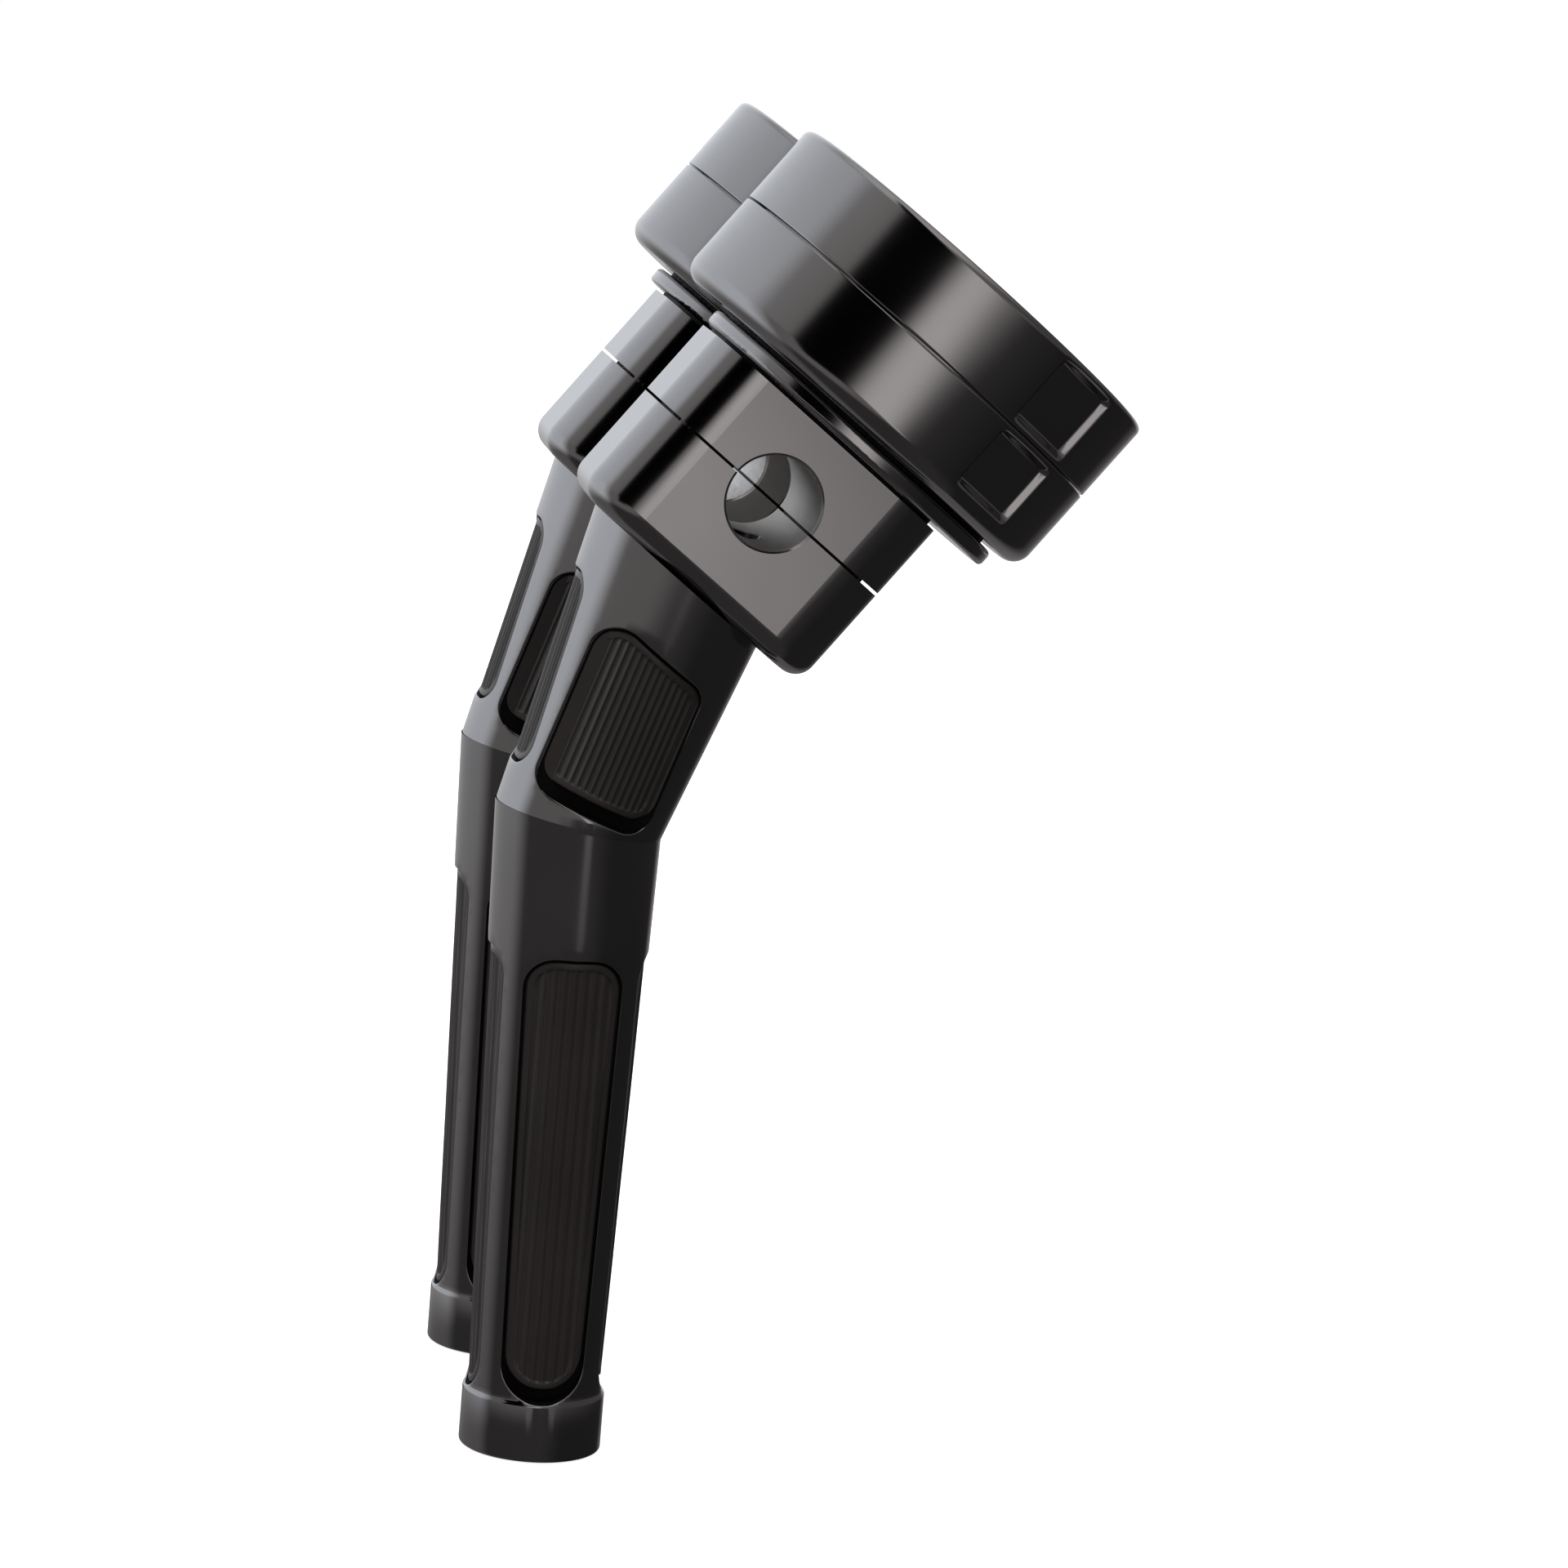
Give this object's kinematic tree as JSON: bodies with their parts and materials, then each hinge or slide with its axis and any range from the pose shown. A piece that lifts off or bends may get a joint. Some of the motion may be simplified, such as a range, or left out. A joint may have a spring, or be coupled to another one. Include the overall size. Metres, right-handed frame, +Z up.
{
  "type": "handlebar riser pair with instrument pods",
  "caption": "Pull-back handlebar risers with split bar clamps, ribbed inserts and round instrument pods on a bridge plate.",
  "frame": {"origin": "midway between the two riser feet, on the plane their end faces share", "axes": "+Z up the straight lower stage of the posts, +X towards the rider, the side the heads lean to, Y along the handlebar with left at -Y"},
  "size_m": [0.1623, 0.241, 0.3637],
  "materials": {
    "black_anodised": "gloss black anodised, mirror-like with a slight blur",
    "ribbed_insert": "satin black moulded ribs",
    "black_screw": "black oxide, satin",
    "steel": "machined steel, satin",
    "rubber_seal": "matt black rubber",
    "lens_glass": "clear mineral glass, gloss",
    "dial": "matt black dial with pale marks",
    "pointer": "satin orange needle",
    "movement": "matt black moulded case"
  },
  "bodies": {
    "frame": {"left_post": "black_anodised", "left_clamp_base": "black_anodised", "left_clamp_cap": "black_anodised", "left_pod_cup": "black_anodised", "left_lower_insert_outer": "ribbed_insert", "left_lower_insert_inner": "ribbed_insert", "left_lower_insert_front": "ribbed_insert", "left_lower_insert_rear": "ribbed_insert", "left_upper_insert_outer": "ribbed_insert", "left_upper_insert_inner": "ribbed_insert", "left_upper_insert_rear": "ribbed_insert", "left_clamp_bolts": "black_screw", "left_plate_screws": "black_screw", "left_cup_screws": "black_screw", "left_saddle_screw": "black_screw", "left_saddle_dowel": "steel", "left_foot_insert": "steel", "left_cap_pad": "rubber_seal", "left_clamp_shim": "rubber_seal", "left_pod_pad": "rubber_seal", "left_cable_grommet": "rubber_seal", "left_dial_face": "dial", "left_instrument_can": "movement", "right_post": "black_anodised", "right_clamp_base": "black_anodised", "right_clamp_cap": "black_anodised", "right_pod_cup": "black_anodised", "right_lower_insert_outer": "ribbed_insert", "right_lower_insert_inner": "ribbed_insert", "right_lower_insert_front": "ribbed_insert", "right_lower_insert_rear": "ribbed_insert", "right_upper_insert_outer": "ribbed_insert", "right_upper_insert_inner": "ribbed_insert", "right_upper_insert_rear": "ribbed_insert", "right_clamp_bolts": "black_screw", "right_plate_screws": "black_screw", "right_cup_screws": "black_screw", "right_saddle_screw": "black_screw", "right_saddle_dowel": "steel", "right_foot_insert": "steel", "right_cap_pad": "rubber_seal", "right_clamp_shim": "rubber_seal", "right_pod_pad": "rubber_seal", "right_cable_grommet": "rubber_seal", "right_dial_face": "dial", "right_instrument_can": "movement", "bridge_plate": "black_anodised"},
    "left_bezel": {"left_bezel_ring": "black_anodised", "left_lens": "lens_glass", "left_lens_seal": "rubber_seal"},
    "left_needle": {"left_pointer": "pointer"},
    "right_bezel": {"right_bezel_ring": "black_anodised", "right_lens": "lens_glass", "right_lens_seal": "rubber_seal"},
    "right_needle": {"right_pointer": "pointer"}
  },
  "joints": [
    {"name": "left_bezel_turn", "type": "hinge", "parent": "frame", "child": "left_bezel", "pos_m": [0.0785, -0.061, 0.30912], "axis": [0.6088, 0, 0.7934], "range_deg": [0, 25]},
    {"name": "left_pointer_turn", "type": "hinge", "parent": "frame", "child": "left_needle", "pos_m": [0.08289, -0.061, 0.31483], "axis": [-0.6088, 0, -0.7934], "range_deg": [0, 270]},
    {"name": "right_bezel_turn", "type": "hinge", "parent": "frame", "child": "right_bezel", "pos_m": [0.0785, 0.061, 0.30912], "axis": [0.6088, 0, 0.7934], "range_deg": [0, 25]},
    {"name": "right_pointer_turn", "type": "hinge", "parent": "frame", "child": "right_needle", "pos_m": [0.08289, 0.061, 0.31483], "axis": [-0.6088, 0, -0.7934], "range_deg": [0, 270]}
  ]
}
